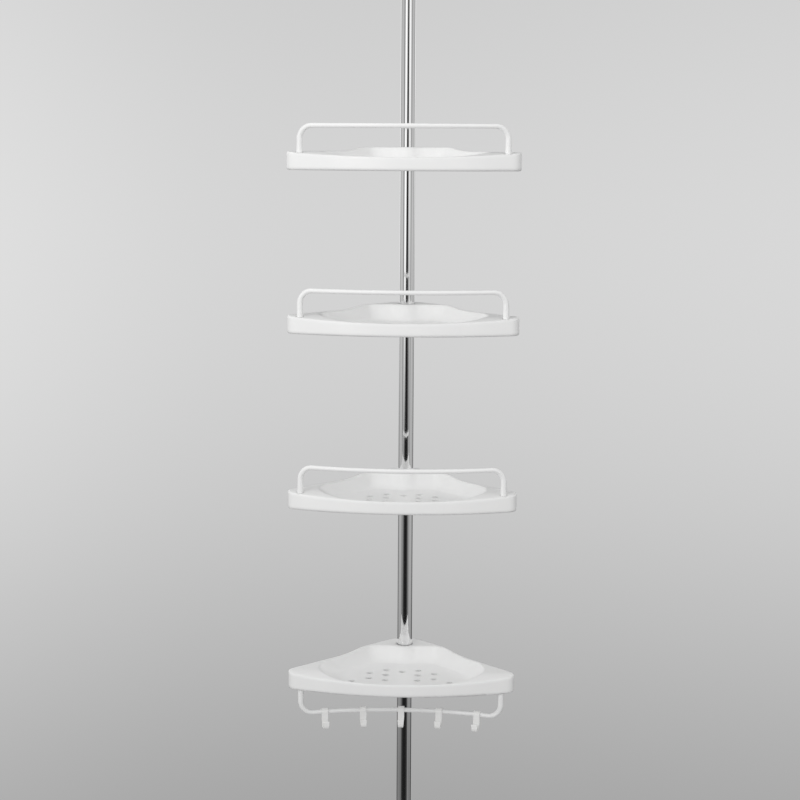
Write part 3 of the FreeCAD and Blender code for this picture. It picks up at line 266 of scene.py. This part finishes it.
def ringTree():  # beads round a disc, one above the other
    tree, given, out = startTree("grip_rings", [
        ("Ring Radius", "NodeSocketFloat", 0.026), ("Bead Radius", "NodeSocketFloat", 0.0006),
        ("Ring Count", "NodeSocketInt", 3), ("First Height", "NodeSocketFloat", 0.0),
        ("Spacing", "NodeSocketFloat", 0.002), ("Finish", "NodeSocketMaterial", None)])
    first = addNode(tree, "ShaderNodeCombineXYZ", {"Z": given["First Height"]}).outputs["Vector"]
    step = addNode(tree, "ShaderNodeCombineXYZ", {"Z": given["Spacing"]}).outputs["Vector"]
    stack = addNode(tree, "GeometryNodeMeshLine",
                    {"Count": given["Ring Count"], "Start Location": first, "Offset": step})
    ring = addNode(tree, "GeometryNodeCurvePrimitiveCircle",
                   {"Resolution": padGrips["ringSteps"], "Radius": given["Ring Radius"]})
    bead = addNode(tree, "GeometryNodeCurvePrimitiveCircle",
                   {"Resolution": padGrips["beadSteps"], "Radius": given["Bead Radius"]})
    tube = addNode(tree, "GeometryNodeCurveToMesh",
                   {"Curve": ring.outputs["Curve"], "Profile Curve": bead.outputs["Curve"]})
    rings = addNode(tree, "GeometryNodeInstanceOnPoints",
                    {"Points": stack.outputs["Mesh"], "Instance": tube.outputs["Mesh"]})
    finishTree(tree, out, rings.outputs["Instances"], given["Finish"])
    return tree


def gussetTree():  # thin fins that stiffen a cup's flange
    tree, given, out = startTree("cup_gussets", [
        ("Circle Radius", "NodeSocketFloat", 0.018), ("Fin Count", "NodeSocketInt", 8),
        ("Fin Reach", "NodeSocketFloat", 0.0042), ("Fin Width", "NodeSocketFloat", 0.001),
        ("Fin Rise", "NodeSocketFloat", 0.01), ("Height", "NodeSocketFloat", 0.02),
        ("Finish", "NodeSocketMaterial", None)])
    circle = addNode(tree, "GeometryNodeMeshCircle",
                     {"Vertices": given["Fin Count"], "Radius": given["Circle Radius"]})
    lift = addNode(tree, "ShaderNodeCombineXYZ", {"Z": given["Height"]}).outputs["Vector"]
    raised = addNode(tree, "GeometryNodeTransform", {"Geometry": circle.outputs["Mesh"], "Translation": lift})
    size = addNode(tree, "ShaderNodeCombineXYZ",
                   {"X": given["Fin Reach"], "Y": given["Fin Width"], "Z": given["Fin Rise"]}).outputs["Vector"]
    ball = addNode(tree, "GeometryNodeMeshUVSphere",
                   {"Segments": cupGussets["segments"], "Rings": cupGussets["rings"], "Radius": 1.0})
    fin = addNode(tree, "GeometryNodeTransform", {"Geometry": ball.outputs["Mesh"], "Scale": size})
    point = addNode(tree, "GeometryNodeInputPosition").outputs["Position"]
    outward = addNode(tree, "ShaderNodeVectorMath", {0: point, 1: (1.0, 1.0, 0.0)},
                      operation="MULTIPLY").outputs["Vector"]
    turn = addNode(tree, "FunctionNodeAlignRotationToVector", {"Vector": outward}, axis="X", pivot_axis="Z")
    fins = addNode(tree, "GeometryNodeInstanceOnPoints",
                   {"Points": raised.outputs["Geometry"], "Instance": fin.outputs["Geometry"],
                    "Rotation": turn.outputs["Rotation"]})
    finishTree(tree, out, fins.outputs["Instances"], given["Finish"])
    return tree


def growPiece(name, tree, values, body):
    holder = bpy.data.objects.new(name + "_holder", bpy.data.meshes.new(name + "_holder"))
    scene.collection.objects.link(holder)
    modifier = holder.modifiers.new("grow", "NODES")
    modifier.node_group = tree
    for item in tree.interface.items_tree:
        if item.in_out == "INPUT" and item.name in values:
            modifier[item.identifier] = values[item.name]
    bpy.context.view_layer.update()
    shown = holder.evaluated_get(bpy.context.evaluated_depsgraph_get())
    mesh = bpy.data.meshes.new_from_object(shown)
    mesh.name = name
    holder.modifiers.remove(modifier)
    bpy.data.objects.remove(holder)
    piece = bpy.data.objects.new(name, mesh)
    scene.collection.objects.link(piece)
    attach(piece, body)


ringNodes = ringTree()
gussetNodes = gussetTree()


def padRings(name, pad, body):
    low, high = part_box(pad)
    middle = (low.z + high.z) / 2
    growPiece(name, ringNodes, {
        "Ring Radius": high.x - padGrips["bead"] + padGrips["inset"], "Bead Radius": padGrips["bead"],
        "Ring Count": padGrips["count"], "Spacing": padGrips["spacing"],
        "First Height": middle - padGrips["spacing"] * (padGrips["count"] - 1) / 2,
        "Finish": finishes["rubber"]}, body)


def cupFins(name, radius, height, body):
    growPiece(name, gussetNodes, {
        "Circle Radius": radius, "Fin Count": cupGussets["count"], "Fin Reach": cupGussets["reach"],
        "Fin Width": cupGussets["width"], "Fin Rise": cupGussets["rise"], "Height": height,
        "Finish": finishes["white"]}, body)


padRings("floor_pad_grips", "floor_pad", "pole")
padRings("ceiling_pad_grips", "ceiling_pad", "ceiling_foot")
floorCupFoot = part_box("floor_cup")[0].z
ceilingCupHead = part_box("ceiling_cup")[1].z
cupFins("floor_cup_gussets", cupGussets["floorCircle"], floorCupFoot + cupGussets["fromEnd"], "pole")
cupFins("ceiling_cup_gussets", cupGussets["ceilingCircle"], ceilingCupHead - cupGussets["fromEnd"],
        "ceiling_foot")
print("pads and cups detailed")


# the spring in the inner tube, a merged copy that rides with the inner tube; the real spring shortens as the
# plunger goes in, this copy keeps its length

springCoil = {"name": "tension_coil", "standsFor": "tension_spring", "body": "inner_tube",
              "joint": "spring_plunger", "slot": "bare_steel", "merge": 0.00001}


def makeSpring(coil):
    mesh = nodes[coil["standsFor"]].data.copy()
    mesh.name = coil["name"]
    wire = bmesh.new()
    wire.from_mesh(mesh)
    bmesh.ops.remove_doubles(wire, verts=wire.verts, dist=coil["merge"])
    wire.to_mesh(mesh)
    wire.free()
    piece = bpy.data.objects.new(coil["name"], mesh)
    scene.collection.objects.link(piece)
    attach(piece, coil["body"])
    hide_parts(coil["standsFor"])
    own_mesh(piece)


makeSpring(springCoil)
print("spring wound")


# camera place, found from the photograph

view = {"at": (0.1068, -2.6796, 1.321), "down": 8.41, "turn": -2.48, "roll": 0.339, "focal": 1805.0,
        "frame": 800.0, "sensor": 36.0, "farthest": 50.0}


# studio: floor, backdrop tone, soft boxes

studioFloor = {"radius": 0.85, "sides": 128, "tone": (0.5, 0.5, 0.505), "roughness": 0.8,
               "fadeFrom": 0.06, "fadeTo": 0.82}
backdrop = {  # levels by rise, times levels from left to right
    "tones": ((-0.75, 0.62), (-0.42, 0.31), (-0.25, 0.66), (-0.1, 0.82), (0.02, 0.79), (0.14, 0.71)),
    "sides": ((-0.6, 0.83), (-0.32, 1.0), (-0.15, 0.8), (0.05, 0.835), (0.24, 0.87)),
}
ambient = {"above": 0.87, "below": 0.32}

# a painted reflection that only glossy rays see, for the plating to mirror: pale sides, a dark flag that
# narrows upwards, tall strips standing in for the lamps and posts
# turns and widths are in degrees from the camera's side, heights are the rise of the ray
paleSides = ((-0.34, 0.22), (-0.24, 0.42), (-0.05, 0.56), (0.06, 0.5))
darkFlag = {"turn": 2.0, "level": 0.012, "foot": -0.34, "footHalf": 18.0, "footEdge": 95.0,
            "head": 0.05, "headHalf": 2.0, "headEdge": 18.0}
tallStrips = {
    "left_light": {"turn": -30.0, "half": 8.0, "edge": 19.0, "level": 1.1, "from": -0.17, "full": -0.06},
    "right_light": {"turn": 30.0, "half": 8.0, "edge": 19.0, "level": 1.0, "from": -0.12, "full": 0.03},
    "left_post": {"turn": -57.0, "half": 3.0, "edge": 10.0, "level": 0.22, "from": -0.5, "full": -0.3},
    "right_post": {"turn": 62.0, "half": 3.0, "edge": 10.0, "level": 0.32, "from": -0.5, "full": -0.3},
}

lamps = {
    "key_box": {"at": (-1.3, -2.5, 1.95), "aim": (0.0, -0.1, 1.35), "size": (1.2, 1.2), "power": 5.0,
                "spread": 62.0},
    "fill_box": {"at": (1.9, -2.3, 1.6), "aim": (0.0, 0.0, 0.95), "size": (1.2, 1.6), "power": 4.0,
                 "spread": 180.0},
    "back_box": {"at": (0.8, 2.6, 0.7), "aim": (0.0, 0.0, 0.95), "size": (1.2, 1.6), "power": 20.0,
                 "spread": 180.0},
}


def makeFloor():
    mesh = bpy.data.meshes.new("studio_floor")
    radius = studioFloor["radius"]
    corners = range(studioFloor["sides"])
    turns = [2 * math.pi * corner / studioFloor["sides"] for corner in corners]
    ring = [(radius * math.cos(turn), radius * math.sin(turn), 0.0) for turn in turns]
    mesh.from_pydata(ring, [], [list(corners)])
    floor = bpy.data.objects.new("studio_floor", mesh)
    scene.collection.objects.link(floor)
    made, tree, shader, place = startMaterial("studio_floor")
    shader.inputs["Base Color"].default_value = opaque(studioFloor["tone"])
    shader.inputs["Roughness"].default_value = studioFloor["roughness"]
    reach = addNode(tree, "ShaderNodeVectorMath", {0: place}, operation="LENGTH").outputs["Value"]
    fade = addNode(tree, "ShaderNodeMapRange",
                   {"Value": reach, "From Min": studioFloor["fadeFrom"], "From Max": studioFloor["fadeTo"]},
                   interpolation_type="SMOOTHSTEP")
    clear = addNode(tree, "ShaderNodeBsdfTransparent")
    mixed = addNode(tree, "ShaderNodeMixShader",
                    {0: fade.outputs["Result"], 1: shader.outputs["BSDF"], 2: clear.outputs["BSDF"]})
    out = next(node for node in tree.nodes if node.type == "OUTPUT_MATERIAL")
    tree.links.new(mixed.outputs["Shader"], out.inputs["Surface"])
    mesh.materials.append(made)


def rampOf(tree, way, stops, blend="LINEAR"):  # grey levels along one part of a ray's way, from -1 to 1
    made = addNode(tree, "ShaderNodeValToRGB", {"Fac": spread(tree, way, -1.0, 1.0, 0.0, 1.0)})
    band = made.color_ramp
    band.interpolation = blend
    while len(band.elements) < len(stops):
        band.elements.new(0.5)
    for element, (at, level) in zip(band.elements, stops):
        element.position = (at + 1) / 2
        element.color = grey(level)
    return made.outputs["Color"]


def workOut(tree, operation, *values):
    return addNode(tree, "ShaderNodeMath", dict(enumerate(values)), operation=operation).outputs["Value"]


def panelMask(tree, degrees, turn, half, edge):
    off = workOut(tree, "ABSOLUTE", workOut(tree, "SUBTRACT", degrees, turn))
    made = addNode(tree, "ShaderNodeMapRange",
                   {"Value": off, "From Min": half, "From Max": edge, "To Min": 1.0, "To Max": 0.0},
                   interpolation_type="SMOOTHSTEP")
    return made.outputs["Result"]


# painted reflection: a picture for glossy rays only, with strips and a dark flag standing in for lamps and room
def paintedStudioReflection(tree, rise, degrees):
    shown = rampOf(tree, rise, paleSides)
    span = darkFlag["foot"], darkFlag["head"]
    half = spread(tree, rise, *span, darkFlag["footHalf"], darkFlag["headHalf"])
    edge = spread(tree, rise, *span, darkFlag["footEdge"], darkFlag["headEdge"])
    mask = panelMask(tree, degrees, darkFlag["turn"], half, edge)
    shown = blendColours(tree, mask, shown, grey(darkFlag["level"]))
    for strip in tallStrips.values():
        side = panelMask(tree, degrees, strip["turn"], strip["half"], strip["edge"])
        height = spread(tree, rise, strip["from"], strip["full"], 0.0, 1.0)
        shown = blendColours(tree, workOut(tree, "MULTIPLY", side, height), shown, grey(strip["level"]))
    return shown


def makeWorld():
    world = bpy.data.worlds.new("studio")
    world.use_nodes = True
    tree = world.node_tree
    tree.nodes.clear()
    way = addNode(tree, "ShaderNodeTexCoord").outputs["Generated"]
    parts = addNode(tree, "ShaderNodeSeparateXYZ", {"Vector": way}).outputs
    path = addNode(tree, "ShaderNodeLightPath").outputs
    turn = workOut(tree, "ARCTAN2", parts["X"], workOut(tree, "ABSOLUTE", parts["Y"]))  # the back as the front
    cameraSide = math.degrees(math.atan2(view["at"][0], -view["at"][1]))
    degrees = spread(tree, turn, -math.pi, math.pi, -180.0 - cameraSide, 180.0 - cameraSide)
    paintedMirrorView = paintedStudioReflection(tree, parts["Z"], degrees)
    light = rampOf(tree, parts["Z"], ((-1.0, ambient["below"]), (1.0, ambient["above"])))
    tones = rampOf(tree, parts["Z"], backdrop["tones"], "B_SPLINE")
    sides = rampOf(tree, parts["X"], backdrop["sides"], "B_SPLINE")
    shown = blendColours(tree, 1.0, tones, sides, "MULTIPLY")
    # glossy rays see the painted reflection, other rays the plain light level
    lit = blendColours(tree, path["Is Glossy Ray"], light, paintedMirrorView)
    final = blendColours(tree, path["Is Camera Ray"], lit, shown)
    glow = addNode(tree, "ShaderNodeBackground", {"Color": final})
    out = addNode(tree, "ShaderNodeOutputWorld")
    tree.links.new(glow.outputs["Background"], out.inputs["Surface"])
    scene.world = world


def makeLamp(name, lamp):
    data = bpy.data.lights.new(name, "AREA")
    data.shape = "RECTANGLE"
    data.size, data.size_y = lamp["size"]
    data.energy = lamp["power"]
    data.spread = math.radians(lamp["spread"])
    holder = bpy.data.objects.new(name, data)
    scene.collection.objects.link(holder)
    holder.location = lamp["at"]
    holder.rotation_mode = "QUATERNION"
    holder.rotation_quaternion = (Vector(lamp["aim"]) - Vector(lamp["at"])).to_track_quat("-Z", "Y")
    holder.visible_glossy = False  # the plating shows the painted reflection strips of tallStrips instead of the lamps


makeFloor()
makeWorld()
for name, lamp in lamps.items():
    makeLamp(name, lamp)
print("studio lit")


def makeCamera():
    data = bpy.data.cameras.new("photo_view")
    data.sensor_width = view["sensor"]
    data.lens = view["focal"] / view["frame"] * view["sensor"]
    data.clip_end = view["farthest"]
    holder = bpy.data.objects.new("photo_view", data)
    scene.collection.objects.link(holder)
    down, turn = math.radians(view["down"]), math.radians(view["turn"])
    ahead = Vector((math.sin(turn) * math.cos(down), math.cos(turn) * math.cos(down), -math.sin(down)))
    holder.location = view["at"]
    holder.rotation_mode = "QUATERNION"
    roll = Quaternion((0, 0, 1), math.radians(view["roll"]))
    holder.rotation_quaternion = ahead.to_track_quat("-Z", "Y") @ roll
    scene.camera = holder


makeCamera()
print("camera set")
